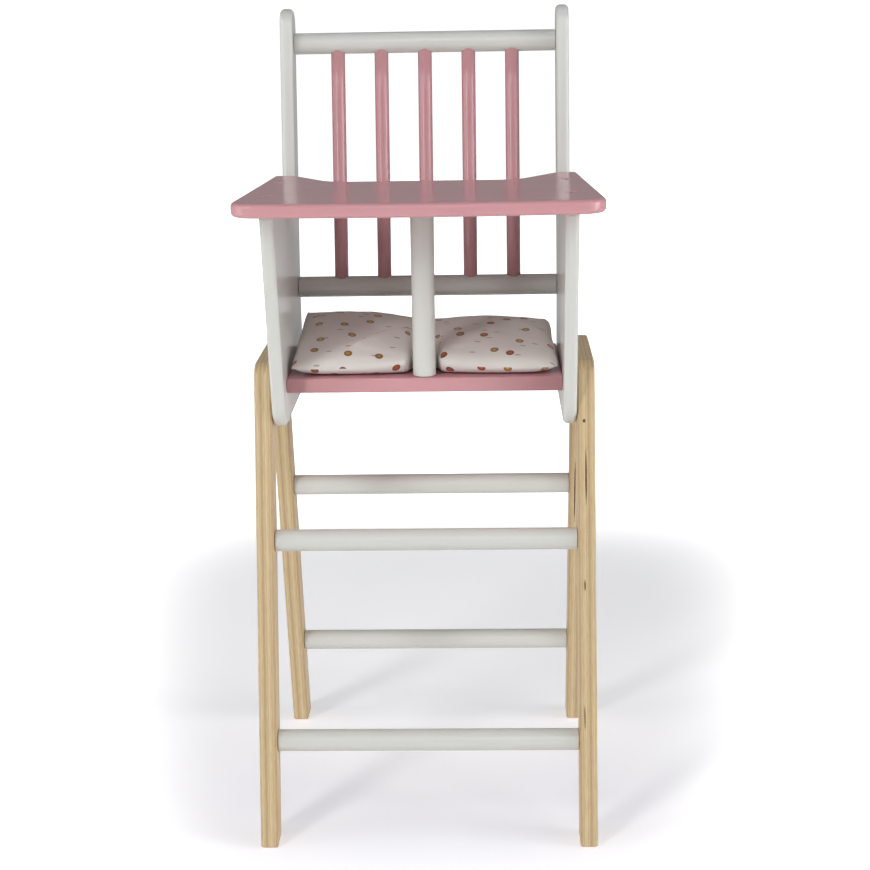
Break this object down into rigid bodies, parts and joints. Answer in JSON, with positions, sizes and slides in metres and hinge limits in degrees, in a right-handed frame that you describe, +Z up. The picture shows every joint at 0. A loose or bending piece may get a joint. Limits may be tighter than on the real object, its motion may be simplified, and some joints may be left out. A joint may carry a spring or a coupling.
{
  "type": "doll high chair",
  "caption": "High chair for a doll: plywood leg frames joined by rungs, painted side panels with a spindle back, fixed tray and crotch post, and a loose dotted cushion.",
  "frame": {"origin": "on the floor, under the middle of the four feet", "axes": "+Z up, -Y the way the sitter faces, +X to the right as seen from the front"},
  "size_m": [0.238, 0.2368, 0.555],
  "materials": {
    "birch_plywood": "satin, clear-sealed birch plywood with its layers showing at the sawn edges",
    "white_paint": "satin white paint on wood",
    "pink_paint": "satin dusty pink paint on wood",
    "zinc_steel": "bright zinc plating",
    "cotton": "matte off-white cotton printed with small copper-coloured dots"
  },
  "bodies": {
    "chair": {"left_leg_frame": "birch_plywood", "right_leg_frame": "birch_plywood", "left_side_panel": "white_paint", "right_side_panel": "white_paint", "front_upper_rung": "white_paint", "front_lower_rung": "white_paint", "rear_upper_rung": "white_paint", "rear_lower_rung": "white_paint", "backrest_top_rail": "white_paint", "backrest_lower_rail": "white_paint", "crotch_post": "white_paint", "spindle_1": "pink_paint", "spindle_2": "pink_paint", "spindle_3": "pink_paint", "spindle_4": "pink_paint", "spindle_5": "pink_paint", "seat_board": "pink_paint", "tray": "pink_paint", "left_front_upper_rung_screw": "zinc_steel", "right_front_upper_rung_screw": "zinc_steel", "left_front_lower_rung_screw": "zinc_steel", "right_front_lower_rung_screw": "zinc_steel", "left_rear_upper_rung_screw": "zinc_steel", "right_rear_upper_rung_screw": "zinc_steel", "left_rear_lower_rung_screw": "zinc_steel", "right_rear_lower_rung_screw": "zinc_steel", "left_backrest_top_rail_screw": "zinc_steel", "right_backrest_top_rail_screw": "zinc_steel", "left_backrest_lower_rail_screw": "zinc_steel", "right_backrest_lower_rail_screw": "zinc_steel", "left_seat_front_screw": "zinc_steel", "right_seat_front_screw": "zinc_steel", "left_seat_rear_screw": "zinc_steel", "right_seat_rear_screw": "zinc_steel", "left_frame_front_screw": "zinc_steel", "right_frame_front_screw": "zinc_steel", "left_frame_rear_screw": "zinc_steel", "right_frame_rear_screw": "zinc_steel", "left_tray_front_screw": "zinc_steel", "right_tray_front_screw": "zinc_steel", "left_tray_rear_screw": "zinc_steel", "right_tray_rear_screw": "zinc_steel", "crotch_post_screw": "zinc_steel"},
    "cushion": {"seat_cushion": "cotton"}
  },
  "joints": [
    {"name": "cushion_slide", "type": "slide", "parent": "chair", "child": "cushion", "axis": [0, 1, 0], "range_m": [0, 0.155]}
  ]
}
